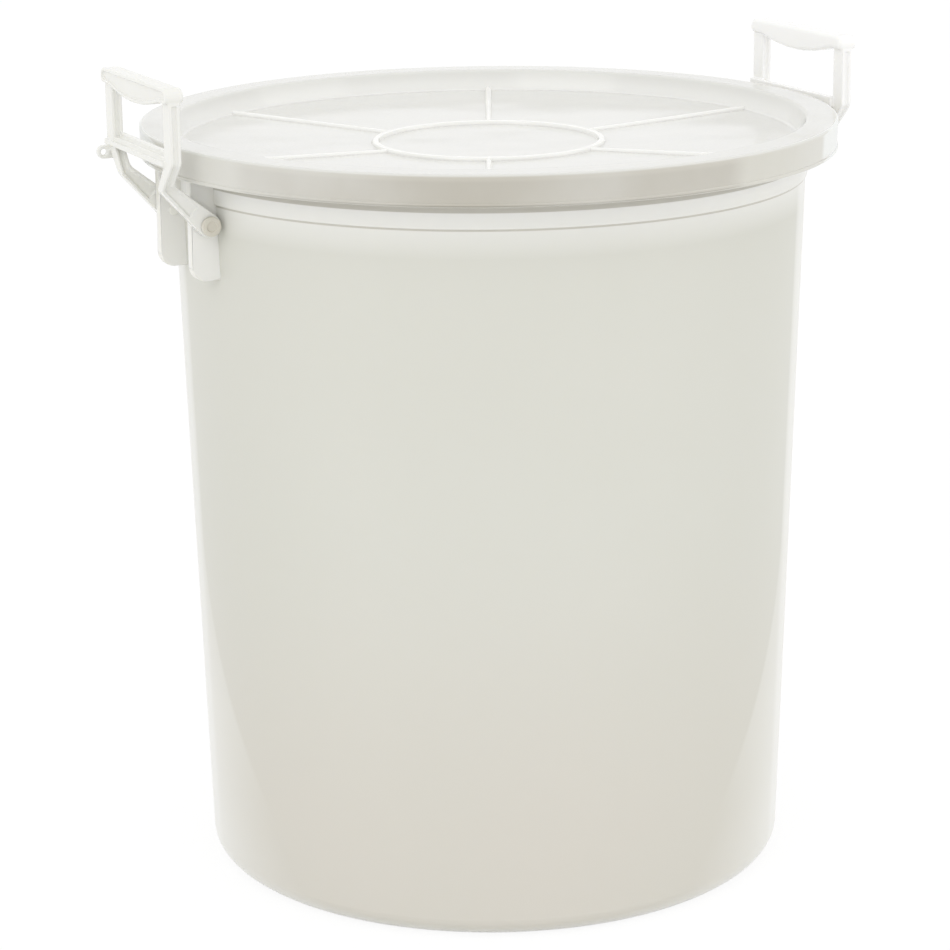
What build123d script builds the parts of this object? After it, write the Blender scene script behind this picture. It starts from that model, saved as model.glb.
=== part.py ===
from build123d import *
from math import atan2, cos, radians, sin, sqrt
import os

os.makedirs("parts", exist_ok=True)

# Lengths in mm. The origin is the middle of the foot, +Z is up and the handles are on the X axis.

bury = 2.0  # how far one form runs into the next
over = 5.0  # how far a cut runs past what it cuts

# barrel shell, with drops measured down from the rim
foot_wall_radius = 198.0
wall_growth = 0.02851  # radius gained per mm of height
wall = 2.8
rim_z = 505.4
floor_thickness = 3.5
foot_lift = 3.0  # the middle of the floor stands clear of the ground
foot_ring_width = 14.0
heel_round = 13.0
inner_heel_round = 11.0
collar_drop = 35.0
collar_proud = 1.3
flare_drop = 21.4
neck_flare_drop = 15.4
neck_step = 5.08  # out from the line of the wall
neck_wall = 3.4
neck_round = 2.0
rim_thickness = 3.0
lip_width = 12.1
lip_depth = 11.4
lip_thickness = 3.5
lip_round = 1.2

# ears, two plates on each side
ear_inner = 24.0
ear_thickness = 8.0
ear_cover = 9.5  # out from the pivot
ear_drop = 37.0  # down from the pivot
ear_round = 8.5

# hinge
pivot_drop = 45.9
pin_radius = 3.5
pin_clearance = 0.05  # radial, in the handle's bore
pin_tail = 0.8
pin_head_radius = 6.4
pin_head_thickness = 2.5
pin_dimple_radius = 3.5
pin_dimple_depth = 0.8
side_gap = 0.5  # between ear and arm, and between arm and pin head
arm_wall_gap = 0.42  # between the arm's end and the barrel

# lid
lid_thickness = 2.5
rim_gap = 0.4
skirt_gap = 0.5
skirt_height = 20.0
skirt_bead = 2.1
bead_step = 0.5
skirt_round = 1.2
lid_edge_round = 1.8
plug_gap = 0.6
plug_wall = 1.7
recess_slope = 5.7
recess_depth = 14.3
recess_top_round = 3.0
recess_foot_round = 2.5
plug_round = 1.8
dish = 4.5
hub_radius = 78.2
hub_width = 5.0
hub_height = 3.0
hub_dish = 0.3
hub_round = 1.6
rib_count = 6
rib_angle = 3.7
rib_width = 3.6
rib_rise = 2.3
rib_root = 0.5

# handle
handle_gap = 8.5  # from the lid's edge to the legs
leg_inner = 46.6
leg_width = 12.0
leg_depth = 7.3
arm_width = 8.0
arm_end_radius = 7.5
elbow_rise = 24.5  # above the pivot
elbow_slant = 4.5
inner_elbow_rise = 1.0
elbow_far_round = 5.0
elbow_near_round = 6.0
bend_drop = 5.3  # below the top of the lid
bend_round = 4.0
grip_rise = 42.7  # above the top of the lid
grip_depth = 13.0
grip_overhang = 3.0
grip_end_overhang = 0.5
grip_end_height = 9.6
grip_middle_height = 15.7
grip_swell_inset = 2.0
grip_corner_round = 6.0
grip_low_round = 3.0
grip_swell_round = 30.0
grip_inward_round = 2.6
grip_outward_round = 0.9
pocket_rim = 2.2
pocket_depth = 1.4
groove_depth = 1.3
groove_top_gap = 1.5
leg_flange = 2.0
arm_flange = 3.3
groove_start = 14.6  # along the arm from the pivot
elbow_flange = 1.0
bar_drop = 7.7  # below the top of the lid
bar_overhang = 1.7
bar_inset = 2.5
bar_into_leg = 1.0
bar_steps = [(0, 0), (0, 3.4), (2.8, 3.8), (3.4, 5.6), (6.4, 5.8), (7.0, 7.6)]
bar_heel = 0.9
bar_crown = 7.8
eye_reach = 2.4
eye_drop = 4.6
eye_radius = 4.4
eye_hole_radius = 2.1
eye_thickness = 3.0
eye_inset = 2.0


def wall_radius(z):
    return foot_wall_radius + wall_growth * z


def outline(points, rounds=()):
    with BuildSketch() as made:
        with BuildLine():
            Polyline(*points, close=True)
        make_face()
        for x, y, radius in rounds:
            fillet(vertices().sort_by_distance((x, y, 0))[0], radius)
    return made.sketch


# The rim and neck stand on the wall, the pivot beside it, and the lid and handles follow from them.
flange_z = rim_z - rim_thickness
collar_z = rim_z - collar_drop
flare_z = rim_z - flare_drop
neck_flare_z = rim_z - neck_flare_drop
lip_bottom_z = rim_z - lip_depth
neck_outer_radius = wall_radius(flange_z) + neck_step
neck_inner_radius = neck_outer_radius - neck_wall
lip_radius = neck_outer_radius + lip_width
lip_inner_radius = lip_radius - lip_thickness

arm_inner = ear_inner + ear_thickness + side_gap
arm_outer = arm_inner + arm_width
pivot_z = rim_z - pivot_drop
wall_at_arm = sqrt(wall_radius(pivot_z) ** 2 - arm_inner**2)
pivot_x = wall_at_arm + arm_wall_gap + arm_end_radius
ear_reach = pivot_x + ear_cover
ear_bottom_z = pivot_z - ear_drop

# The outside is turned solid first, so the ears can run into it before the inside is hollowed.
foot_inner_radius = foot_wall_radius - heel_round - foot_ring_width - foot_lift
collar_radius = wall_radius(collar_z) + collar_proud
outside = outline(
    [
        (0, foot_lift),
        (foot_inner_radius, foot_lift),
        (foot_inner_radius + foot_lift, 0),
        (foot_wall_radius, 0),
        (wall_radius(collar_z), collar_z),
        (collar_radius, collar_z + collar_proud),
        (wall_radius(flare_z) + collar_proud, flare_z),
        (neck_outer_radius, flange_z),
        (lip_inner_radius, flange_z),
        (lip_inner_radius, lip_bottom_z),
        (lip_radius, lip_bottom_z),
        (lip_radius, rim_z),
        (0, rim_z),
    ],
    [
        (foot_wall_radius, 0, heel_round),
        (neck_outer_radius, flange_z, neck_round),
        (lip_inner_radius, lip_bottom_z, lip_round),
        (lip_radius, lip_bottom_z, lip_round),
        (lip_radius, rim_z, lip_round),
    ],
)
inside_floor_z = foot_lift + floor_thickness
inside_heel = (wall_radius(floor_thickness) - wall, floor_thickness)
inside = outline(
    [
        (0, inside_floor_z),
        (foot_inner_radius, inside_floor_z),
        (foot_inner_radius + foot_lift, floor_thickness),
        inside_heel,
        (wall_radius(neck_flare_z) - wall, neck_flare_z),
        (neck_inner_radius, rim_z),
        (neck_inner_radius, rim_z + over),
        (0, rim_z + over),
    ],
    [(*inside_heel, inner_heel_round)],
)
ear = outline(
    [
        (foot_wall_radius, ear_bottom_z),
        (ear_reach, ear_bottom_z),
        (ear_reach, flange_z + rim_thickness / 3),
        (foot_wall_radius, flange_z + rim_thickness / 3),
    ],
    [(ear_reach, ear_bottom_z, ear_round)],
)

with BuildPart() as barrel:
    with BuildSketch(Plane.XZ):
        add(outside)
    revolve(axis=Axis.Z)
    with BuildSketch(Plane.XZ.offset(ear_inner), Plane.XZ.offset(-ear_inner - ear_thickness)):
        add(ear)
        mirror(about=Plane.YZ)
    extrude(amount=ear_thickness)
    with BuildSketch(Plane.XZ):
        add(inside)
    revolve(axis=Axis.Z, mode=Mode.SUBTRACT)
    with BuildSketch(Plane.XZ.offset(arm_inner)):
        with Locations((pivot_x, pivot_z), (-pivot_x, pivot_z)):
            Circle(pin_radius)
    extrude(amount=-2 * arm_inner, mode=Mode.SUBTRACT)

# The lid is a skin of even thickness: skirt, flat ring, recess wall and dished floor.
skirt_top_z = rim_z + rim_gap
lid_top_z = skirt_top_z + lid_thickness
skirt_inner_radius = lip_radius + skirt_gap
lid_radius = skirt_inner_radius + lid_thickness
skirt_bottom_z = lid_top_z - skirt_height
bead_z = skirt_bottom_z + skirt_bead
plug_radius = neck_inner_radius - plug_gap
recess_radius = plug_radius - plug_wall
recess_foot_radius = recess_radius - recess_slope
recess_foot_z = lid_top_z - recess_depth
recess_middle_z = recess_foot_z - dish
plug_foot = (plug_radius - recess_slope, recess_foot_z - lid_thickness)
hub_inner_radius = hub_radius - hub_width
hub_floor_z = recess_middle_z + hub_dish
hub_top_z = recess_middle_z + hub_height
lid_section = outline(
    [
        (0, recess_middle_z),
        (hub_inner_radius, hub_floor_z),
        (recess_foot_radius, recess_foot_z),
        (recess_radius, lid_top_z),
        (lid_radius, lid_top_z),
        (lid_radius, skirt_top_z),
        (lid_radius - bead_step, bead_z + bead_step),
        (lid_radius, bead_z),
        (lid_radius, skirt_bottom_z),
        (skirt_inner_radius, skirt_bottom_z),
        (skirt_inner_radius, skirt_top_z),
        (plug_radius, skirt_top_z),
        plug_foot,
        (hub_inner_radius, hub_floor_z - lid_thickness),
        (0, recess_middle_z - lid_thickness),
    ],
    [
        (recess_foot_radius, recess_foot_z, recess_foot_round),
        (recess_radius, lid_top_z, recess_top_round),
        (lid_radius, lid_top_z, lid_edge_round),
        (skirt_inner_radius, skirt_top_z, skirt_round),
        (*plug_foot, plug_round),
    ],
)
hub = outline(
    [
        (hub_inner_radius, recess_middle_z - rib_root),
        (hub_radius, recess_middle_z - rib_root),
        (hub_radius, hub_top_z),
        (hub_inner_radius, hub_top_z),
    ],
    [(hub_radius, hub_top_z, hub_round), (hub_inner_radius, hub_top_z, hub_round)],
)
rib_start = hub_radius - hub_width / 2
rib_end = recess_foot_radius + rib_root
rib = outline(
    [
        (rib_start, recess_middle_z - rib_root),
        (rib_end, recess_foot_z - 2 * rib_root),
        (rib_end, recess_foot_z + rib_rise),
        (rib_start, hub_top_z - rib_root / 2),
    ]
)

with BuildPart() as lid:
    with BuildSketch(Plane.XZ):
        add(lid_section)
    revolve(axis=Axis.Z)
    with BuildSketch(Plane.XZ):
        add(hub)
    revolve(axis=Axis.Z)
    for index in range(rib_count):
        turn = radians(rib_angle + 360 / rib_count * index)
        outward = (cos(turn), sin(turn), 0)
        sideways = (sin(turn), -cos(turn), 0)
        with BuildSketch(Plane((0, 0, 0), x_dir=outward, z_dir=sideways)):
            add(rib)
        extrude(amount=rib_width / 2, both=True)

# Each handle's two arms are one side outline cut to one front outline.
leg_outer = leg_inner + leg_width
leg_near_x = lid_radius + handle_gap
leg_far_x = leg_near_x + leg_depth
bend_z = lid_top_z - bend_drop
elbow_far_z = pivot_z + elbow_rise
elbow_near_z = elbow_far_z + elbow_slant
grip_top_z = lid_top_z + grip_rise
grip_end_z = grip_top_z - grip_end_height
grip_middle_z = grip_top_z - grip_middle_height
grip_half = leg_outer + grip_end_overhang
grip_near_x = leg_near_x - grip_overhang
grip_far_x = grip_near_x + grip_depth
bar_near_x = leg_near_x - bar_inset
bar_far_x = leg_far_x + bar_overhang
bar_bottom_z = lid_top_z - bar_drop
eye_x = bar_far_x + eye_reach
eye_z = bar_bottom_z - eye_drop
arm_angle = atan2(
    (elbow_far_z + elbow_near_z) / 2 - pivot_z,
    (leg_near_x + leg_far_x) / 2 - pivot_x,
)


def on_arm(along, across):
    return (
        pivot_x + along * cos(arm_angle) + across * sin(arm_angle),
        pivot_z + along * sin(arm_angle) - across * cos(arm_angle),
    )


arm_side = outline(
    [
        (leg_near_x, grip_end_z + bury),
        (leg_far_x, grip_end_z + bury),
        (leg_far_x, elbow_far_z),
        on_arm(0, arm_end_radius),
        on_arm(0, -arm_end_radius),
        (leg_near_x, elbow_near_z),
    ],
    [(leg_far_x, elbow_far_z, elbow_far_round), (leg_near_x, elbow_near_z, elbow_near_round)],
)
groove_side = outline(
    [
        (leg_near_x + leg_flange, grip_end_z - groove_top_gap),
        (leg_far_x - leg_flange, grip_end_z - groove_top_gap),
        (leg_far_x - leg_flange, elbow_far_z + elbow_flange),
        on_arm(groove_start, arm_end_radius - arm_flange),
        on_arm(groove_start, arm_flange - arm_end_radius),
        (leg_near_x + leg_flange, elbow_near_z - elbow_flange),
    ]
)


def arm_front(inset):
    return outline(
        [
            (leg_inner + inset, grip_end_z + bury),
            (leg_outer - inset, grip_end_z + bury),
            (leg_outer - inset, bend_z),
            (arm_outer - inset, elbow_far_z),
            (arm_outer - inset, pivot_z - 2 * arm_end_radius),
            (arm_inner + inset, pivot_z - 2 * arm_end_radius),
            (arm_inner + inset, elbow_far_z + inner_elbow_rise),
            (leg_inner + inset, bend_z),
        ],
        [(leg_outer - inset, bend_z, bend_round), (leg_inner + inset, bend_z, bend_round)],
    )


def grip_face(inset):
    half = grip_half - inset
    low = grip_end_z + inset
    top = grip_top_z - inset
    swell = leg_inner - grip_swell_inset
    with BuildSketch() as made:
        with BuildLine():
            Polyline((swell, low), (half, low), (half, top))
            Line((half, top), (-half, top))
            Polyline((-half, top), (-half, low), (-swell, low))
            ThreePointArc((-swell, low), (0, grip_middle_z + inset), (swell, low))
        make_face()
        for side in (-1, 1):
            top_corner = (side * half, top, 0)
            low_corner = (side * half, low, 0)
            swell_corner = (side * swell, low, 0)
            fillet(vertices().sort_by_distance(top_corner)[0], grip_corner_round - inset)
            fillet(vertices().sort_by_distance(low_corner)[0], grip_low_round - inset)
            fillet(vertices().sort_by_distance(swell_corner)[0], grip_swell_round)
    return made.sketch


front_plane = Plane.YZ.offset(pivot_x - 2 * arm_end_radius)
front_length = leg_far_x - pivot_x + 3 * arm_end_radius

with BuildPart() as grooves:
    with BuildSketch(Plane.XZ):
        add(groove_side)
    extrude(amount=leg_outer + over, both=True)
    with BuildSketch(front_plane):
        add(arm_front(groove_depth))
        mirror(about=Plane.YZ)
    extrude(amount=front_length, mode=Mode.SUBTRACT)

with BuildPart() as arms:
    with BuildSketch(Plane.XZ):
        add(arm_side)
        with Locations((pivot_x, pivot_z)):
            Circle(arm_end_radius)
    extrude(amount=leg_outer + over, both=True)
    with BuildSketch(front_plane):
        add(arm_front(0))
        mirror(about=Plane.YZ)
    extrude(amount=front_length, mode=Mode.INTERSECT)
    add(grooves.part, mode=Mode.SUBTRACT)
    with BuildSketch(Plane.XZ.offset(leg_outer)):
        with Locations((pivot_x, pivot_z)):
            Circle(pin_radius + pin_clearance)
    extrude(amount=-2 * leg_outer, mode=Mode.SUBTRACT)

with BuildPart() as right_handle:
    with BuildSketch(Plane.YZ.offset(grip_near_x)):
        add(grip_face(0))
    extrude(amount=grip_depth)
    fillet(faces().sort_by(Axis.X)[0].edges(), grip_inward_round)
    fillet(faces().sort_by(Axis.X)[-1].edges(), grip_outward_round)
    with BuildSketch(Plane.YZ.offset(grip_far_x)):
        add(grip_face(pocket_rim))
    extrude(amount=-pocket_depth, mode=Mode.SUBTRACT)
    add(arms.part)
    # stepped crossbar, from inside the front leg to past the rear leg
    with BuildSketch(Plane.XZ.offset(leg_inner + bar_into_leg)):
        add(
            outline(
                [
                    (bar_near_x, bar_bottom_z + bar_heel),
                    *[(bar_far_x - inward, bar_bottom_z + up) for inward, up in bar_steps],
                    (bar_near_x, bar_bottom_z + bar_crown),
                ]
            )
        )
    extrude(amount=-(leg_inner + bar_into_leg + grip_half))
    # small eye at the rear end
    with BuildSketch(Plane.XZ.offset(eye_inset - leg_outer)):
        add(
            outline(
                [
                    (leg_near_x + groove_depth + bury, eye_z - eye_radius),
                    (eye_x, eye_z - eye_radius),
                    (eye_x, eye_z + eye_radius),
                    (leg_near_x + groove_depth + bury, eye_z + eye_radius),
                ]
            )
        )
        with Locations((eye_x, eye_z)):
            Circle(eye_radius)
            Circle(eye_hole_radius, mode=Mode.SUBTRACT)
    extrude(amount=eye_thickness)

with BuildPart() as left_handle:
    mirror(right_handle.part, about=Plane.YZ)


def hinge_pin(x, end):
    tail_at = ear_inner - pin_tail
    head_at = arm_outer + side_gap
    face_at = head_at + pin_head_thickness
    with BuildPart() as made:
        with BuildSketch(Plane.XZ.offset(end * tail_at)):
            with Locations((x, pivot_z)):
                Circle(pin_radius)
        extrude(amount=end * (head_at - tail_at))
        with BuildSketch(Plane.XZ.offset(end * head_at)):
            with Locations((x, pivot_z)):
                Circle(pin_head_radius)
        extrude(amount=end * pin_head_thickness)
        with BuildSketch(Plane.XZ.offset(end * face_at)):
            with Locations((x, pivot_z)):
                Circle(pin_dimple_radius)
        extrude(amount=-end * pin_dimple_depth, mode=Mode.SUBTRACT)
    return made.part


parts = {
    "barrel": barrel.part,
    "lid": lid.part,
    "left_handle": left_handle.part,
    "right_handle": right_handle.part,
    "left_front_hinge_pin": hinge_pin(-pivot_x, 1),
    "left_rear_hinge_pin": hinge_pin(-pivot_x, -1),
    "right_front_hinge_pin": hinge_pin(pivot_x, 1),
    "right_rear_hinge_pin": hinge_pin(pivot_x, -1),
}
for name, part in parts.items():
    part.label = name
    export_step(part, f"parts/{name}.step")
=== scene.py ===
import math

import bmesh
import bpy
from mathutils import Matrix, Quaternion, Vector


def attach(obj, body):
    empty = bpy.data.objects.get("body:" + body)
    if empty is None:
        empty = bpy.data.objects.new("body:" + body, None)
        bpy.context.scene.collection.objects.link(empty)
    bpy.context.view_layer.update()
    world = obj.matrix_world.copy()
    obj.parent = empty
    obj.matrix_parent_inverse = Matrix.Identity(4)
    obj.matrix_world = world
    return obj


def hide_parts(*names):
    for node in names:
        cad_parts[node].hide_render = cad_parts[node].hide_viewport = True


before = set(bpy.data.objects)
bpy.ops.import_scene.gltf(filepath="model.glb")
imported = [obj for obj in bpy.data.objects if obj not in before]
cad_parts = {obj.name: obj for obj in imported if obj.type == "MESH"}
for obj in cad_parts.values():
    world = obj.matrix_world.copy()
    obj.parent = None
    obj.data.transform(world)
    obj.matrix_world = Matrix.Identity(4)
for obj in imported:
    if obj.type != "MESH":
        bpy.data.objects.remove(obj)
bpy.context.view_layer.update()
mm = 0.001
print("frame loaded")


# Shapes

def addToScene(name, data):
    added = bpy.data.objects.new(name, data)
    bpy.context.scene.collection.objects.link(added)
    return added


def roundedPath(corners, steps=6, guard=0.3):
    # each corner is (distance from the axis, height, rounding) in mm
    path = []
    last = len(corners) - 1
    for index, (across, height, rounding) in enumerate(corners):
        here = Vector((across, height))
        if rounding == 0 or index in (0, last):
            path.append(here)
            continue
        back = (Vector(corners[index - 1][:2]) - here).normalized()
        ahead = (Vector(corners[index + 1][:2]) - here).normalized()
        half = back.angle(ahead) / 2
        reach = rounding / math.tan(half)
        centre = here + (back + ahead).normalized() * rounding / math.sin(half)
        start = (here + back * reach - centre).normalized()
        end = (here + ahead * reach - centre).normalized()
        path.append(here + back * (reach + guard))
        path += [centre + start.slerp(end, step / steps) * rounding for step in range(steps + 1)]
        path.append(here + ahead * (reach + guard))
    return path


def finishMesh(build, name, material, sharpAngle=38):
    mesh = bpy.data.meshes.new(name)
    build.to_mesh(mesh)
    build.free()
    for face in mesh.polygons:
        face.use_smooth = True
    mesh.set_sharp_from_angle(angle=math.radians(sharpAngle))
    mesh.materials.append(material)
    return addToScene(name, mesh)


def lathe(path, segments, place=Matrix.Identity(4)):
    # the path starts and ends on the axis, with the plastic on its left
    build = bmesh.new()
    turns = [2 * math.pi * (index + 0.5) / segments for index in range(segments)]
    rings = []
    for across, height in path:
        spots = [Vector((0, 0, height))]
        if across > 1e-6:
            spots = [Vector((across * math.cos(turn), across * math.sin(turn), height)) for turn in turns]
        rings.append([build.verts.new(place @ (spot * mm)) for spot in spots])
    for low, high in zip(rings, rings[1:]):
        for index in range(segments):
            after = (index + 1) % segments
            if len(low) == 1:
                build.faces.new((low[0], high[after], high[index]))
            elif len(high) == 1:
                build.faces.new((low[index], low[after], high[0]))
            else:
                build.faces.new((low[index], low[after], high[after], high[index]))
    return build


def plate(build, path, nearY, farY, side):
    # a flat outline in X and Z, given thickness along Y
    near = [build.verts.new(Vector((side * x, nearY, z)) * mm) for x, z in path]
    far = [build.verts.new(Vector((side * x, farY, z)) * mm) for x, z in path]
    made = [build.faces.new(near), build.faces.new(far[::-1])]
    for index in range(len(path)):
        after = (index + 1) % len(path)
        made.append(build.faces.new((near[index], far[index], far[after], near[after])))
    bmesh.ops.recalc_face_normals(build, faces=made)


def addBevel(piece, width, segments=3, angle=32):
    bevel = piece.modifiers.new("softEdges", "BEVEL")
    bevel.limit_method = "ANGLE"
    bevel.angle_limit = math.radians(angle)
    bevel.width = width * mm
    bevel.segments = segments
    bevel.harden_normals = True


# Finishes

surface = {"grainDetail": 3.0, "waveDetail": 1.5}
milk = {"cloudDetail": 4.0, "cloudSpread": (0.25, 0.75), "edgeHighlightSpread": (0.52, 0.62), "haze": 0.12}
plastic = {"IOR": 1.49, "Subsurface Radius": (1.0, 0.95, 0.8), "Subsurface Scale": 0.004}


def newGroup(name, inputs, outputs):
    group = bpy.data.node_groups.new(name, "ShaderNodeTree")
    for label, kind, value in inputs:
        socket = group.interface.new_socket(label, in_out="INPUT", socket_type=kind)
        if value is not None:
            socket.default_value = value
    for label, kind in outputs:
        group.interface.new_socket(label, in_out="OUTPUT", socket_type=kind)
    return group, group.nodes.new("NodeGroupInput"), group.nodes.new("NodeGroupOutput")


def makeSurfaceGroup():
    # fine moulding grain over slow waves, as a height
    group, given, out = newGroup(
        "mouldedSurface",
        [("Vector", "NodeSocketVector", None), ("Grain Scale", "NodeSocketFloat", 900.0),
         ("Grain", "NodeSocketFloat", 0.2), ("Wave Scale", "NodeSocketFloat", 9.0),
         ("Wave", "NodeSocketFloat", 1.0)],
        [("Height", "NodeSocketFloat")])
    link = group.links.new
    grain = group.nodes.new("ShaderNodeTexNoise")
    wave = group.nodes.new("ShaderNodeTexNoise")
    grain.inputs["Detail"].default_value = surface["grainDetail"]
    wave.inputs["Detail"].default_value = surface["waveDetail"]
    for noise, label in ((grain, "Grain Scale"), (wave, "Wave Scale")):
        link(given.outputs["Vector"], noise.inputs["Vector"])
        link(given.outputs[label], noise.inputs["Scale"])
    grainPart = group.nodes.new("ShaderNodeMath")
    grainPart.operation = "MULTIPLY"
    link(grain.outputs["Fac"], grainPart.inputs[0])
    link(given.outputs["Grain"], grainPart.inputs[1])
    total = group.nodes.new("ShaderNodeMath")
    total.operation = "MULTIPLY_ADD"
    link(wave.outputs["Fac"], total.inputs[0])
    link(given.outputs["Wave"], total.inputs[1])
    link(grainPart.outputs[0], total.inputs[2])
    link(total.outputs[0], out.inputs["Height"])
    return group


def makeMilkGroup():
    # cloudy tint, a painted highlight along raised edges, and a roughness that follows the clouds
    group, given, out = newGroup(
        "milkyPlastic",
        [("Vector", "NodeSocketVector", None), ("Color", "NodeSocketColor", None),
         ("Cloud Color", "NodeSocketColor", None), ("Edge Highlight Color", "NodeSocketColor", None),
         ("Cloud Scale", "NodeSocketFloat", 7.0), ("Cloud", "NodeSocketFloat", 0.5),
         ("Edge", "NodeSocketFloat", 0.5), ("Roughness", "NodeSocketFloat", 0.3)],
        [("Color", "NodeSocketColor"), ("Roughness", "NodeSocketFloat")])
    link = group.links.new
    cloud = group.nodes.new("ShaderNodeTexNoise")
    cloud.inputs["Detail"].default_value = milk["cloudDetail"]
    link(given.outputs["Vector"], cloud.inputs["Vector"])
    link(given.outputs["Cloud Scale"], cloud.inputs["Scale"])
    spread = group.nodes.new("ShaderNodeMapRange")
    spread.interpolation_type = "SMOOTHSTEP"
    spread.inputs["From Min"].default_value, spread.inputs["From Max"].default_value = milk["cloudSpread"]
    link(cloud.outputs["Fac"], spread.inputs["Value"])
    link(given.outputs["Cloud"], spread.inputs["To Max"])
    tint = group.nodes.new("ShaderNodeMix")
    tint.data_type = "RGBA"
    link(spread.outputs["Result"], tint.inputs["Factor"])
    link(given.outputs["Color"], tint.inputs["A"])
    link(given.outputs["Cloud Color"], tint.inputs["B"])
    # painted highlight: raised edges, found by Pointiness, are made paler
    geometry = group.nodes.new("ShaderNodeNewGeometry")
    edge = group.nodes.new("ShaderNodeMapRange")
    edge.inputs["From Min"].default_value, edge.inputs["From Max"].default_value = milk["edgeHighlightSpread"]
    link(geometry.outputs["Pointiness"], edge.inputs["Value"])
    link(given.outputs["Edge"], edge.inputs["To Max"])
    rim = group.nodes.new("ShaderNodeMix")
    rim.data_type = "RGBA"
    link(edge.outputs["Result"], rim.inputs["Factor"])
    link(tint.outputs["Result"], rim.inputs["A"])
    link(given.outputs["Edge Highlight Color"], rim.inputs["B"])
    link(rim.outputs["Result"], out.inputs["Color"])
    haze = group.nodes.new("ShaderNodeMath")
    haze.operation = "MULTIPLY_ADD"
    haze.inputs[1].default_value = milk["haze"]
    link(cloud.outputs["Fac"], haze.inputs[0])
    link(given.outputs["Roughness"], haze.inputs[2])
    link(haze.outputs[0], out.inputs["Roughness"])
    return group


def srgb(red, green, blue):
    def linear(value):
        value /= 255
        return value / 12.92 if value <= 0.04045 else ((value + 0.055) / 1.055) ** 2.4
    return (linear(red), linear(green), linear(blue), 1.0)


surfaceGroup = makeSurfaceGroup()
milkGroup = makeMilkGroup()


class Finish:
    # one plastic: the two shared groups feed its own Principled shader
    def __init__(self, name, look):
        self.material = bpy.data.materials.new(name)
        self.material.use_nodes = True
        tree = self.material.node_tree
        self.nodes = tree.nodes
        self.link = tree.links.new
        self.shader = self.nodes["Principled BSDF"]
        self.place = self.nodes.new("ShaderNodeTexCoord").outputs["Object"]
        self.milk = self.nodes.new("ShaderNodeGroup")
        self.milk.node_tree = milkGroup
        moulded = self.nodes.new("ShaderNodeGroup")
        moulded.node_tree = surfaceGroup
        for group in (self.milk, moulded):
            self.link(self.place, group.inputs["Vector"])
        for label in ("Color", "Cloud Color", "Edge Highlight Color", "Cloud Scale", "Cloud", "Edge", "Roughness"):
            self.milk.inputs[label].default_value = look[label]
        for label in ("Grain Scale", "Grain", "Wave Scale", "Wave"):
            moulded.inputs[label].default_value = look[label]
        bump = self.nodes.new("ShaderNodeBump")
        bump.inputs["Strength"].default_value = look["Bump"]
        bump.inputs["Distance"].default_value = look["Bump Distance"] * mm
        self.link(moulded.outputs["Height"], bump.inputs["Height"])
        self.link(bump.outputs["Normal"], self.shader.inputs["Normal"])
        self.link(self.milk.outputs["Color"], self.shader.inputs["Base Color"])
        self.link(self.milk.outputs["Roughness"], self.shader.inputs["Roughness"])
        for label, value in plastic.items():
            self.shader.inputs[label].default_value = value
        self.shader.inputs["Subsurface Weight"].default_value = look["Subsurface"]
        self.shader.inputs["Transmission Weight"].default_value = look["Transmission"]

    def between(self, value, low, high, first=0.0, last=1.0, smooth=True):
        # first at low, last at high
        ramp = self.nodes.new("ShaderNodeMapRange")
        ramp.interpolation_type = "SMOOTHSTEP" if smooth else "LINEAR"
        for label, number in (("From Min", low), ("From Max", high), ("To Min", first), ("To Max", last)):
            ramp.inputs[label].default_value = number
        self.link(value, ramp.inputs["Value"])
        return ramp.outputs["Result"]

    def band(self, value, low, high, edge):
        # 1 from low to high
        rising = self.between(value, low - edge, low)
        falling = self.between(value, high, high + edge, 1.0, 0.0)
        return self.calculate("MULTIPLY", rising, falling)

    def along(self, axis):
        split = self.nodes.new("ShaderNodeSeparateXYZ")
        self.link(self.place, split.inputs[0])
        return split.outputs[axis]

    def turnedAway(self):
        # 0 where the surface faces the viewer, 1 at its outline
        weight = self.nodes.new("ShaderNodeLayerWeight")
        weight.inputs["Blend"].default_value = 0.5
        return weight.outputs["Facing"]

    def distanceFromAxis(self):
        flat = self.nodes.new("ShaderNodeVectorMath")
        flat.operation = "MULTIPLY"
        flat.inputs[1].default_value = (1, 1, 0)
        self.link(self.place, flat.inputs[0])
        length = self.nodes.new("ShaderNodeVectorMath")
        length.operation = "LENGTH"
        self.link(flat.outputs[0], length.inputs[0])
        return length.outputs["Value"]

    def blend(self, factor, first, second):
        mix = self.nodes.new("ShaderNodeMix")
        mix.data_type = "RGBA"
        self.link(factor, mix.inputs["Factor"])
        for label, colour in (("A", first), ("B", second)):
            if isinstance(colour, tuple):
                mix.inputs[label].default_value = colour
            else:
                self.link(colour, mix.inputs[label])
        return mix.outputs["Result"]

    def calculate(self, operation, first, second):
        node = self.nodes.new("ShaderNodeMath")
        node.operation = operation
        for socket, value in zip(node.inputs, (first, second)):
            if isinstance(value, (int, float)):
                socket.default_value = value
            else:
                self.link(value, socket)
        return node.outputs[0]

    def overlay(self, factor, colour):
        # a lighter or darker colour over what the surface has so far
        target = self.shader.inputs["Base Color"]
        self.link(self.blend(factor, target.links[0].from_socket, colour), target)


# In each look a pair is low and high, three are a band and the softness of its ends, and four are low,
# high and what is put out at each. Low and high are in metres, as a height, a distance from the axis or
# a place along X or Y, or they are how far the surface turns away from the viewer, 0 to 1.

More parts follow.
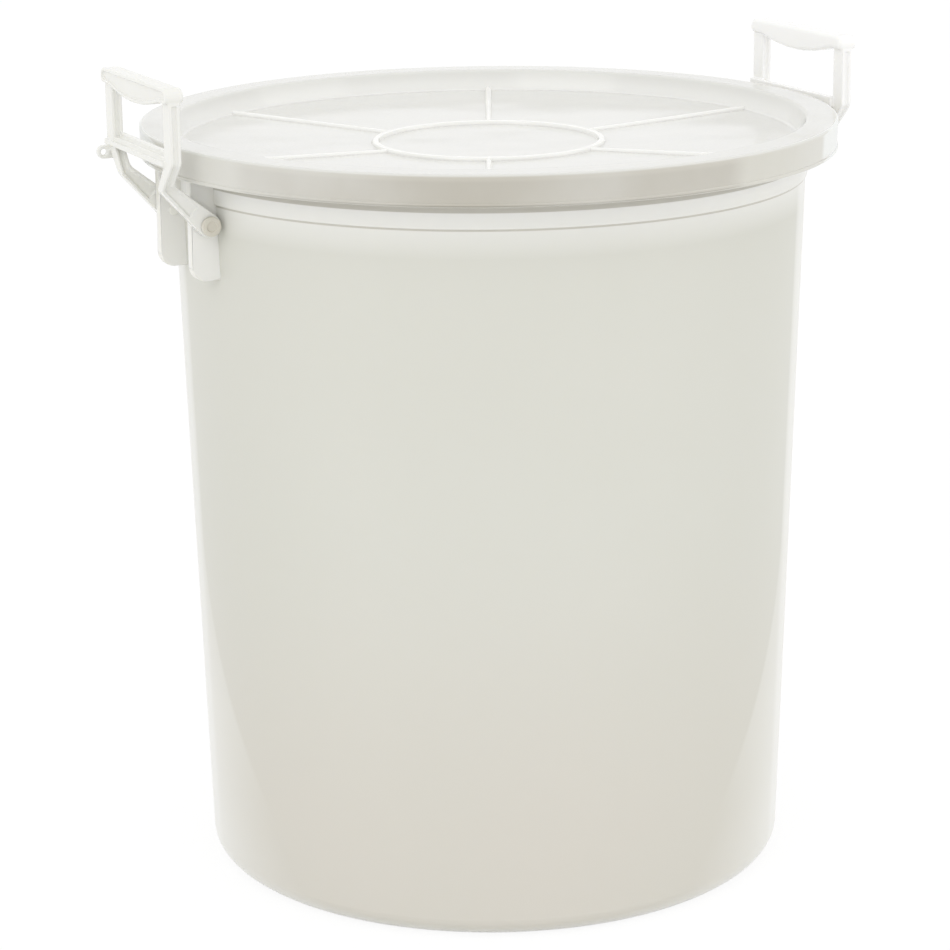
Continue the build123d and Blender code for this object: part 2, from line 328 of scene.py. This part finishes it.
barrelLook = {
    "Color": srgb(219, 219, 211), "Cloud Color": srgb(214, 214, 204), "Edge Highlight Color": srgb(236, 236, 230),
    "Cloud Scale": 5.0, "Cloud": 0.3, "Edge": 0.5, "Roughness": 0.27, "Transmission": 0.0,
    "Grain Scale": 700.0, "Grain": 0.1, "Wave Scale": 4.0, "Wave": 0.5,
    "Bump": 0.3, "Bump Distance": 1.0, "Subsurface": 0.15,
    "footShadeColor": srgb(217, 213, 204), "sideHighlightColor": srgb(240, 240, 236), "outlineSheenColor": srgb(246, 246, 243),
    "sideShadeColor": srgb(198, 198, 188), "neckLightColor": srgb(252, 252, 249), "shadowLineColor": srgb(203, 200, 191),
    "footShadeRise": (0.05, 0.30), "sideShade": (0.15, 0.75, 0.0, 0.35),
    "sideHighlightStart": (-0.05, 0.24, 0.26, 0.785), "sideHighlightStep": (0.0, 0.03),
    "sideHighlightFade": (0.04, 0.13, 0.0, 0.28), "sideHighlightGrowth": (0.03, 0.5, 0.0, 0.8),
    "outline": (0.78, 0.86, 0.0, 0.4), "outside": (0.2094, 0.2104),
    "neckLightRise": (0.452, 0.484), "neckLightEnd": (0.486, 0.493, 1.0, 0.0),
    "shadowLines": ((0.4816, 0.4880), (0.4700, 0.4707)), "shadowLineEdge": 0.0007,
}


def makeBarrelFinish():
    look = barrelLook
    finish = Finish("milkyBarrel", look)
    height = finish.along("Z")
    # painted shade: the wall is darker towards the foot
    colour = finish.blend(finish.between(height, *look["footShadeRise"]), look["footShadeColor"], look["Color"])
    finish.link(colour, finish.milk.inputs["Color"])
    # painted shade towards the sides, painted pale side panels for light through and off the wall that widen
    # towards the foot, then a painted sheen along the outline
    away = finish.turnedAway()
    # painted shade where the wall turns away at the sides
    finish.overlay(finish.between(away, *look["sideShade"], smooth=False), look["sideShadeColor"])
    # painted light: pale side panels, wider towards the foot
    beyond = finish.calculate("SUBTRACT", away, finish.between(height, *look["sideHighlightStart"]))
    step = finish.between(beyond, *look["sideHighlightStep"])
    fade = finish.between(height, *look["sideHighlightFade"])
    finish.overlay(finish.calculate("MULTIPLY", step, fade), look["sideHighlightColor"])
    finish.overlay(finish.between(beyond, *look["sideHighlightGrowth"], smooth=False), look["sideHighlightColor"])
    # painted sheen along the outline
    finish.overlay(finish.between(away, *look["outline"]), look["outlineSheenColor"])
    # painted light: the neck is paler under the skirt, with a painted shadow line right under the skirt and
    # one under the collar step
    outside = finish.between(finish.distanceFromAxis(), *look["outside"])
    rise = finish.between(height, *look["neckLightRise"], smooth=False)
    glow = finish.calculate("MULTIPLY", rise, finish.between(height, *look["neckLightEnd"]))
    finish.overlay(finish.calculate("MULTIPLY", glow, outside), look["neckLightColor"])
    # painted shadow lines under the skirt and under the collar step
    for low, high in look["shadowLines"]:
        line = finish.calculate("MULTIPLY", finish.band(height, low, high, look["shadowLineEdge"]), outside)
        finish.overlay(line, look["shadowLineColor"])
    return finish.material


# painted light: the ears get a paler copy of the barrel's plastic, which offsets the shade they sit in
earLitLook = {
    "Color": srgb(250, 249, 241), "Cloud Color": srgb(243, 242, 232), "Edge Highlight Color": srgb(253, 253, 250),
    "Cloud Scale": 18.0, "Cloud": 0.4, "Edge": 0.8, "Roughness": 0.28, "Transmission": 0.12,
    "Grain Scale": 900.0, "Grain": 0.15, "Wave Scale": 20.0, "Wave": 0.5,
    "Bump": 0.3, "Bump Distance": 0.5, "Subsurface": 0.1,
}
lidLook = {
    "Color": srgb(228, 228, 225), "Cloud Color": srgb(223, 223, 219), "Edge Highlight Color": srgb(252, 252, 250),
    "Cloud Scale": 7.0, "Cloud": 0.6, "Edge": 0.0, "Roughness": 0.02, "Transmission": 0.0,
    "Grain Scale": 500.0, "Grain": 0.02, "Wave Scale": 10.0, "Wave": 1.0,
    "Bump": 0.8, "Bump Distance": 4.5, "Subsurface": 0.1,
    "ringColor": srgb(221, 221, 217), "skirtToneAndShadeColor": srgb(189, 185, 174), "skirtTopLightColor": srgb(197, 193, 182),
    "skirtEndReflectionColor": srgb(210, 208, 198), "ribHighlightColor": srgb(246, 246, 243),
    "shadowLineColor": srgb(156, 152, 140), "outlineSheenColor": srgb(236, 238, 236),
    "ring": (0.206, 0.213), "outer": (0.2300, 0.2318), "outline": (0.71, 0.75),
    "skirt": (0.5080, 0.5062), "skirtTop": (0.5030, 0.5055), "skirtShadowLine": (0.4898, 0.4890),
    "skirtEnd": (0.29, 0.36), "skirtRoughness": 0.3,
    "hub": (0.0733, 0.0780, 0.0004),
    "recess": (0.2060, 0.2120, 0.001), "recessLightFade": (0.496, 0.5075, 0.6, 0.1),
}
# painted highlight: the ribs get a paler, glossier copy of the lid plastic
ribHighlightLook = dict(lidLook, Color=lidLook["ribHighlightColor"], Cloud=0.0, Roughness=0.0)


def makeLidFinish():
    look = lidLook
    finish = Finish("milkyLid", look)
    height = finish.along("Z")
    distance = finish.distanceFromAxis()
    away = finish.turnedAway()
    outer = finish.between(distance, *look["outer"])
    top = finish.blend(finish.between(distance, *look["ring"]), look["Color"], look["ringColor"])
    # the skirt is a darker tone where the plastic is thick, with a painted dark reflection where it faces the
    # viewer, painted light towards its top, painted reflections of light at its turned-away ends and a
    # painted shadow line along its foot
    face = finish.blend(finish.between(height, *look["skirtTop"]), look["skirtToneAndShadeColor"], look["skirtTopLightColor"])
    # painted shadow along the skirt's foot
    front = finish.blend(finish.between(height, *look["skirtShadowLine"]), face, look["shadowLineColor"])
    # painted reflections of light at the skirt's turned-away ends
    skirt = finish.blend(finish.between(away, *look["skirtEnd"]), front, look["skirtEndReflectionColor"])
    onSkirt = finish.calculate("MULTIPLY", outer, finish.between(height, *look["skirt"]))
    finish.link(finish.blend(onSkirt, top, skirt), finish.milk.inputs["Color"])
    # painted sheen along the lid's edge where it turns away
    outline = finish.calculate("MULTIPLY", finish.between(away, *look["outline"]), outer)
    finish.overlay(outline, look["outlineSheenColor"])
    # painted highlight on the hub ring, and painted light on the recess wall where it sits in shade
    finish.overlay(finish.band(distance, *look["hub"]), look["ribHighlightColor"])
    fade = finish.between(height, *look["recessLightFade"])
    recess = finish.calculate("MULTIPLY", finish.band(distance, *look["recess"]), fade)
    finish.overlay(recess, look["ribHighlightColor"])
    # the skirt is duller than the wavy, shiny top
    roughness = finish.between(outer, 0.0, 1.0, look["Roughness"], look["skirtRoughness"])
    finish.link(roughness, finish.milk.inputs["Roughness"])
    return finish.material


handleLook = {
    "Color": srgb(243, 243, 239), "Cloud Color": srgb(237, 237, 231), "Edge Highlight Color": srgb(252, 252, 249),
    "Cloud Scale": 22.0, "Cloud": 0.5, "Edge": 0.0, "Roughness": 0.12, "Transmission": 0.05,
    "Grain Scale": 900.0, "Grain": 0.1, "Wave Scale": 30.0, "Wave": 0.4,
    "Bump": 0.3, "Bump Distance": 0.4, "Subsurface": 0.1,
    "rightLitColor": srgb(255, 255, 254), "rightLitSide": (-0.05, 0.05),
}
pinLook = {
    "Color": srgb(221, 217, 205), "Cloud Color": srgb(208, 204, 191), "Edge Highlight Color": srgb(224, 220, 210),
    "Cloud Scale": 60.0, "Cloud": 0.6, "Edge": 0.5, "Roughness": 0.34, "Transmission": 0.0,
    "Grain Scale": 1500.0, "Grain": 0.3, "Wave Scale": 90.0, "Wave": 0.4,
    "Bump": 0.3, "Bump Distance": 0.2, "Subsurface": 0.1,
    "tailLitColor": srgb(242, 242, 235), "tail": (0.034, 0.038, 1.0, 0.0),
}


def makeHandleFinish():
    # painted light: the right handle is painted whiter than the left, standing in for light that falls on it
    finish = Finish("whiteHandle", handleLook)
    finish.overlay(finish.between(finish.along("X"), *handleLook["rightLitSide"]), handleLook["rightLitColor"])
    return finish.material


def makePinFinish():
    # painted light: the shaft's tail is painted nearly as pale as the ear that it sits in, so that its shaded
    # end does not show dark
    finish = Finish("dullPin", pinLook)
    outward = finish.calculate("ABSOLUTE", finish.along("Y"), 0.0)
    finish.overlay(finish.between(outward, *pinLook["tail"]), pinLook["tailLitColor"])
    return finish.material


barrelPlastic = makeBarrelFinish()
lidPlastic = makeLidFinish()
ribHighlightPlastic = Finish("milkyRibHighlight", ribHighlightLook).material
handlePlastic = makeHandleFinish()
earLitPlastic = Finish("milkyLitEar", earLitLook).material
pinPlastic = makePinFinish()
print("finishes made")


# Barrel

barrel = {
    "footWallRadius": 198.0, "wallGrowth": 0.02851, "wall": 2.8, "floor": 3.5, "footLift": 3.0,
    "footInnerRadius": 168.0, "collarHeight": 470.4, "collarProud": 1.3, "flareHeight": 484.0,
    "rimHeight": 505.4, "flangeHeight": 502.4, "neckOuterRadius": 217.4, "neckInnerRadius": 214.0,
    "neckFlareHeight": 490.0, "lipRadius": 229.5, "lipInnerRadius": 226.0, "lipBottom": 494.0,
    "earInner": 24.0, "earOuter": 32.0, "earReach": 226.0, "earBottom": 422.5, "earRound": 8.5,
    "earRoot": 3.3, "earTop": 0.8, "earNeck": 0.6, "earBevel": 0.8,
}


def wallRadius(height):
    return barrel["footWallRadius"] + barrel["wallGrowth"] * height


def makeBarrel():
    b = barrel
    footOuter = b["footInnerRadius"] + b["footLift"]
    proudRadius = wallRadius(b["collarHeight"]) + b["collarProud"]
    corners = [
        (0, b["footLift"], 0),
        (b["footInnerRadius"], b["footLift"], 2.0),
        (footOuter, 0, 1.5),
        (b["footWallRadius"], 0, 13.0),
        (wallRadius(b["collarHeight"]), b["collarHeight"], 0.4),
        (proudRadius, b["collarHeight"] + b["collarProud"], 0.5),
        (wallRadius(b["flareHeight"]) + b["collarProud"], b["flareHeight"], 3.0),
        (b["neckOuterRadius"], b["flangeHeight"], 2.0),
        (b["lipInnerRadius"], b["flangeHeight"], 1.5),
        (b["lipInnerRadius"], b["lipBottom"], 1.2),
        (b["lipRadius"], b["lipBottom"], 1.2),
        (b["lipRadius"], b["rimHeight"], 1.4),
        (b["neckInnerRadius"], b["rimHeight"], 1.0),
        (wallRadius(b["neckFlareHeight"]) - b["wall"], b["neckFlareHeight"], 6.0),
        (wallRadius(b["floor"]) - b["wall"], b["floor"], 11.0),
        (footOuter, b["floor"], 1.0),
        (b["footInnerRadius"], b["floor"] + b["footLift"], 1.0),
        (0, b["floor"] + b["footLift"], 0),
    ]
    return finishMesh(lathe(roundedPath(corners), segments=256), "barrelShell", barrelPlastic)


def makeEars():
    b = barrel
    corners = [
        (wallRadius(b["earBottom"]) - b["earRoot"], b["earBottom"], 0),
        (b["earReach"], b["earBottom"], b["earRound"]),
        (b["earReach"], b["flangeHeight"] + b["earTop"], 0),
        (b["neckInnerRadius"] - b["earNeck"], b["flangeHeight"] + b["earTop"], 0),
        (wallRadius(b["flareHeight"]) - b["wall"], b["flareHeight"], 0),
    ]
    outline = roundedPath(corners, guard=0)
    build = bmesh.new()
    for side in (-1, 1):
        for end in (-1, 1):
            plate(build, outline, end * b["earInner"], end * b["earOuter"], side)
    piece = finishMesh(build, "earPlates", earLitPlastic)
    addBevel(piece, b["earBevel"])
    return piece


barrelShell = makeBarrel()
earPlates = makeEars()
print("barrel made")


# Lid

lid = {
    "radius": 232.5, "top": 508.3, "thickness": 2.5, "skirtTop": 505.8, "skirtBottom": 488.3,
    "skirtInner": 230.0, "bead": 2.1, "recessRadius": 211.7, "footRadius": 206.0, "footHeight": 494.0,
    "middleHeight": 489.5, "hubDish": 0.3, "hubRadius": 78.2, "hubWidth": 5.0, "hubTop": 492.5,
    "hubFoot": 0.2, "hubLean": 0.5, "plugWall": 1.7, "beadStep": 0.6, "beadRise": 0.4, "skirtLean": 0.1,
    "edgeDrop": 0.3, "ribCount": 6, "ribAngle": 3.7, "ribRadius": 1.9, "ribSpread": 0.25,
    "ribInHub": 2.0, "ribInWall": 1.5, "ribInnerRise": 0.5, "ribOuterRise": 0.25,
    "ribDivisions": 12, "ribFacets": 20,
}


def makeLid():
    p = lid
    hubInner = p["hubRadius"] - p["hubWidth"]
    hubFloor = p["middleHeight"] + p["hubDish"]
    slope = (p["footHeight"] - hubFloor) / (p["footRadius"] - hubInner)
    beadTop = p["skirtBottom"] + p["bead"]
    corners = [
        (0, p["middleHeight"] - p["thickness"], 0),
        (hubInner, hubFloor - p["thickness"], 20.0),
        (p["footRadius"] + p["plugWall"], p["footHeight"] - p["thickness"], 1.8),
        (p["recessRadius"] + p["plugWall"], p["skirtTop"], 1.0),
        (p["skirtInner"], p["skirtTop"], 1.2),
        (p["skirtInner"], p["skirtBottom"], 0.6),
        (p["radius"], p["skirtBottom"], 0.7),
        (p["radius"], beadTop, 0.6),
        (p["radius"] - p["beadStep"], beadTop + p["beadRise"], 0.3),
        (p["radius"] - p["skirtLean"], p["skirtTop"] - p["edgeDrop"], 1.0),
        (p["radius"], p["top"], 1.7),
        (p["recessRadius"], p["top"], 3.0),
        (p["footRadius"], p["footHeight"], 2.6),
        (p["hubRadius"] + p["hubFoot"], hubFloor + slope * p["hubWidth"], 0.5),
        (p["hubRadius"] - p["hubLean"], p["hubTop"], 1.1),
        (hubInner + p["hubLean"], p["hubTop"], 1.1),
        (hubInner - p["hubFoot"], hubFloor, 0.5),
        (0, p["middleHeight"], 0),
    ]
    path = roundedPath(corners, guard=0.15)
    return finishMesh(lathe(path, segments=256), "lidShell", lidPlastic, sharpAngle=50)


def makeRibTree():
    # one rod from the hub to the recess wall, repeated round the lid
    tree = bpy.data.node_groups.new("lidRibs", "GeometryNodeTree")
    inputs = {}
    for label, kind in (("Count", "Int"), ("Turn", "Float"), ("Radius", "Float"), ("Spread", "Float"),
                        ("Inner", "Vector"), ("Outer", "Vector"), ("Material", "Material")):
        socket = tree.interface.new_socket(label, in_out="INPUT", socket_type="NodeSocket" + kind)
        inputs[label] = socket.identifier
    tree.interface.new_socket("Geometry", in_out="OUTPUT", socket_type="NodeSocketGeometry")
    new = tree.nodes.new
    link = tree.links.new
    given = new("NodeGroupInput")
    line = new("GeometryNodeCurvePrimitiveLine")
    link(given.outputs["Inner"], line.inputs["Start"])
    link(given.outputs["Outer"], line.inputs["End"])
    divided = new("GeometryNodeResampleCurve")
    divided.inputs["Count"].default_value = lid["ribDivisions"]
    link(line.outputs["Curve"], divided.inputs["Curve"])
    along = new("GeometryNodeSplineParameter")
    wide = new("ShaderNodeMapRange")
    wide.inputs["To Min"].default_value = 1.0
    widest = new("ShaderNodeMath")
    widest.operation = "ADD"
    widest.inputs[1].default_value = 1.0
    link(given.outputs["Spread"], widest.inputs[0])
    link(along.outputs["Factor"], wide.inputs["Value"])
    link(widest.outputs[0], wide.inputs["To Max"])
    section = new("GeometryNodeCurvePrimitiveCircle")
    section.inputs["Resolution"].default_value = lid["ribFacets"]
    link(given.outputs["Radius"], section.inputs["Radius"])
    rod = new("GeometryNodeCurveToMesh")
    rod.inputs["Fill Caps"].default_value = True
    link(divided.outputs["Curve"], rod.inputs["Curve"])
    link(section.outputs["Curve"], rod.inputs["Profile Curve"])
    link(wide.outputs["Result"], rod.inputs["Scale"])
    points = new("GeometryNodePoints")
    link(given.outputs["Count"], points.inputs["Count"])
    share = new("ShaderNodeMath")
    share.operation = "DIVIDE"
    share.inputs[0].default_value = 2 * math.pi
    link(given.outputs["Count"], share.inputs[1])
    turn = new("ShaderNodeMath")
    turn.operation = "MULTIPLY_ADD"
    link(new("GeometryNodeInputIndex").outputs["Index"], turn.inputs[0])
    link(share.outputs[0], turn.inputs[1])
    link(given.outputs["Turn"], turn.inputs[2])
    spin = new("ShaderNodeCombineXYZ")
    link(turn.outputs[0], spin.inputs["Z"])
    spread = new("GeometryNodeInstanceOnPoints")
    link(points.outputs[0], spread.inputs["Points"])
    link(rod.outputs["Mesh"], spread.inputs["Instance"])
    link(spin.outputs["Vector"], spread.inputs["Rotation"])
    real = new("GeometryNodeRealizeInstances")
    link(spread.outputs["Instances"], real.inputs["Geometry"])
    smooth = new("GeometryNodeSetShadeSmooth")
    link(real.outputs["Geometry"], smooth.inputs["Geometry"])
    painted = new("GeometryNodeSetMaterial")
    link(smooth.outputs["Geometry"], painted.inputs["Geometry"])
    link(given.outputs["Material"], painted.inputs["Material"])
    link(painted.outputs["Geometry"], new("NodeGroupOutput").inputs["Geometry"])
    return tree, inputs


def makeRibs():
    p = lid
    tree, inputs = makeRibTree()
    host = addToScene("ribHost", bpy.data.meshes.new("ribHost"))
    modifier = host.modifiers.new("ribs", "NODES")
    modifier.node_group = tree
    values = {
        "Count": p["ribCount"], "Turn": math.radians(p["ribAngle"]), "Radius": p["ribRadius"] * mm,
        "Spread": p["ribSpread"],
        "Inner": ((p["hubRadius"] - p["ribInHub"]) * mm, 0, (p["middleHeight"] + p["ribInnerRise"]) * mm),
        "Outer": ((p["footRadius"] + p["ribInWall"]) * mm, 0, (p["footHeight"] + p["ribOuterRise"]) * mm),
        "Material": ribHighlightPlastic,
    }
    for label, value in values.items():
        modifier[inputs[label]] = value
    host.update_tag()
    bpy.context.view_layer.update()
    evaluated = host.evaluated_get(bpy.context.evaluated_depsgraph_get())
    mesh = bpy.data.meshes.new_from_object(evaluated)
    bpy.data.objects.remove(host)
    mesh.name = "lidRibs"
    return addToScene("lidRibs", mesh)


lidShell = makeLid()
lidRibs = makeRibs()
print("lid made")


# Handles and hinge pins

handle = {"merge": 0.02, "voxel": 0.5, "easeShare": 0.5, "easeSteps": 3}
pin = {
    "pivotX": 216.5, "pivotZ": 459.5, "radius": 3.5, "headRadius": 6.4, "tail": 23.2,
    "headStart": 41.0, "headEnd": 43.5, "dimpleDepth": 0.8, "dimpleTop": 0.55, "dimpleFoot": 0.5,
}


def makeHandle(node, name):
    # the construction's own form, remeshed fine and eased so that every edge is softly moulded
    build = bmesh.new()
    build.from_mesh(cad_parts[node].data)
    bmesh.ops.remove_doubles(build, verts=build.verts, dist=handle["merge"] * mm)
    raw = finishMesh(build, name + "Raw", handlePlastic)
    fine = raw.modifiers.new("fine", "REMESH")
    fine.mode = "VOXEL"
    fine.voxel_size = handle["voxel"] * mm
    ease = raw.modifiers.new("ease", "SMOOTH")
    ease.factor = handle["easeShare"]
    ease.iterations = handle["easeSteps"]
    bpy.context.view_layer.update()
    evaluated = raw.evaluated_get(bpy.context.evaluated_depsgraph_get())
    mesh = bpy.data.meshes.new_from_object(evaluated)
    bpy.data.objects.remove(raw)
    mesh.name = name
    mesh.materials.clear()
    mesh.materials.append(handlePlastic)
    for face in mesh.polygons:
        face.use_smooth = True
    return addToScene(name, mesh)


def makePin(name, side, end):
    p = pin
    tilt = Matrix.Rotation(math.radians(-90 * end), 4, "X")
    place = Matrix.Translation((side * p["pivotX"] * mm, 0, p["pivotZ"] * mm)) @ tilt
    corners = [
        (0, p["tail"], 0),
        (p["radius"], p["tail"], 0.5),
        (p["radius"], p["headStart"], 0.2),
        (p["headRadius"], p["headStart"], 0.3),
        (p["headRadius"], p["headEnd"], 0.8),
        (p["headRadius"] * p["dimpleTop"], p["headEnd"], 0.3),
        (p["headRadius"] * p["dimpleFoot"], p["headEnd"] - p["dimpleDepth"], 0.25),
        (0, p["headEnd"] - p["dimpleDepth"], 0),
    ]
    path = roundedPath(corners, steps=4, guard=0.05)
    return finishMesh(lathe(path, segments=48, place=place), name, pinPlastic, sharpAngle=50)


leftHandle = makeHandle("left_handle", "leftHandle")
rightHandle = makeHandle("right_handle", "rightHandle")
pins = {}
for sideName, side in (("left", -1), ("right", 1)):
    for endName, end in (("front", -1), ("rear", 1)):
        node = f"{sideName}_{endName}_hinge_pin"
        pins[node] = makePin(f"{sideName}{endName.capitalize()}Pin", side, end)
print("handles and pins made")


# What each piece moves with; the construction's parts that they replace are hidden

for piece, body, slot in (
    (barrelShell, "barrel", "barrel_plastic"), (earPlates, "barrel", "barrel_plastic"),
    (lidShell, "lid", "lid_plastic"), (lidRibs, "lid", "lid_plastic"),
    (leftHandle, "left_handle", "handle_plastic"), (rightHandle, "right_handle", "handle_plastic"),
):
    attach(piece, body)
for node, piece in pins.items():
    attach(piece, "barrel")
    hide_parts(node)
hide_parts("barrel")
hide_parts("lid")
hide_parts("left_handle")
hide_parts("right_handle")


# Camera, floor and light

camera = {
    "place": (-0.9124, -1.8481, 0.8295), "forward": (0.42174, 0.86648, -0.26708),
    "roll": -0.0107, "focalPixels": 3100.5, "imagePixels": 950, "sensor": 36.0,
}
light = {
    "skyColor": (1.0, 0.995, 0.985, 1), "skyForDiffuse": 0.97,
    "floorReach": 6.0, "floorColor": (0.86, 0.86, 0.86, 1), "floorShare": 0.86, "floorGlow": 1.04,
}
lamps = {
    "keyLamp": {"place": (-3.0, -1.7, 2.8), "aim": (0, 0, 0.3), "size": 2.8, "power": 21.0},
    "fillLamp": {"place": (2.8, -1.9, 1.8), "aim": (0, 0, 0.3), "size": 2.6, "power": 14.0},
    "backLamp": {"place": (1.35, 2.75, 1.45), "aim": (0, 0, 0.5), "size": 0.9, "power": 0.12},
}


def makeCamera():
    data = bpy.data.cameras.new("camera")
    data.sensor_width = camera["sensor"]
    data.lens = camera["sensor"] * camera["focalPixels"] / camera["imagePixels"]
    made = addToScene("camera", data)
    made.location = camera["place"]
    made.rotation_mode = "QUATERNION"
    level = Vector(camera["forward"]).to_track_quat("-Z", "Y")
    made.rotation_quaternion = level @ Quaternion((0, 0, 1), camera["roll"])
    bpy.context.scene.camera = made


def seenDirectly(nodes, link):
    # 1 for what the camera, a reflection or clear plastic shows
    path = nodes.new("ShaderNodeLightPath")
    first = nodes.new("ShaderNodeMath")
    first.operation = "MAXIMUM"
    second = nodes.new("ShaderNodeMath")
    second.operation = "MAXIMUM"
    link(path.outputs["Is Camera Ray"], first.inputs[0])
    link(path.outputs["Is Glossy Ray"], first.inputs[1])
    link(first.outputs[0], second.inputs[0])
    link(path.outputs["Is Transmission Ray"], second.inputs[1])
    return second.outputs[0]


def makeWorld():
    world = bpy.data.worlds.new("studio")
    bpy.context.scene.world = world
    world.use_nodes = True
    nodes = world.node_tree.nodes
    link = world.node_tree.links.new
    soft = nodes["Background"]
    soft.inputs["Color"].default_value = light["skyColor"]
    soft.inputs["Strength"].default_value = light["skyForDiffuse"]
    white = nodes.new("ShaderNodeBackground")
    white.inputs["Color"].default_value = (1, 1, 1, 1)
    mix = nodes.new("ShaderNodeMixShader")
    link(seenDirectly(nodes, link), mix.inputs["Fac"])
    link(soft.outputs[0], mix.inputs[1])
    link(white.outputs[0], mix.inputs[2])
    link(mix.outputs[0], nodes["World Output"].inputs["Surface"])


def makeFloor():
    mesh = bpy.data.meshes.new("floor")
    reach = light["floorReach"]
    mesh.from_pydata([(-reach, -reach, 0), (reach, -reach, 0), (reach, reach, 0), (-reach, reach, 0)],
                     [], [(0, 1, 2, 3)])
    material = bpy.data.materials.new("paleFloor")
    material.use_nodes = True
    nodes = material.node_tree.nodes
    link = material.node_tree.links.new
    nodes.remove(nodes["Principled BSDF"])
    paint = nodes.new("ShaderNodeBsdfDiffuse")
    paint.inputs["Color"].default_value = light["floorColor"]
    glow = nodes.new("ShaderNodeEmission")
    glow.inputs["Strength"].default_value = light["floorGlow"]
    mix = nodes.new("ShaderNodeMixShader")
    share = nodes.new("ShaderNodeMath")
    share.operation = "MULTIPLY"
    share.inputs[1].default_value = light["floorShare"]
    link(seenDirectly(nodes, link), share.inputs[0])
    link(share.outputs[0], mix.inputs["Fac"])
    link(paint.outputs[0], mix.inputs[1])
    link(glow.outputs[0], mix.inputs[2])
    link(mix.outputs[0], nodes["Material Output"].inputs["Surface"])
    mesh.materials.append(material)
    floor = addToScene("floor", mesh)


def makeLamp(name, place, aim, size, power):
    data = bpy.data.lights.new(name, "AREA")
    data.shape = "DISK"
    data.size = size
    data.energy = power
    lamp = addToScene(name, data)
    lamp.location = place
    lamp.rotation_mode = "QUATERNION"
    lamp.rotation_quaternion = (Vector(aim) - Vector(place)).to_track_quat("-Z", "Y")


makeCamera()
makeWorld()
makeFloor()
for lampName, lamp in lamps.items():
    makeLamp(lampName, **lamp)
bpy.context.scene.view_settings.view_transform = "Standard"
print("camera and light set")
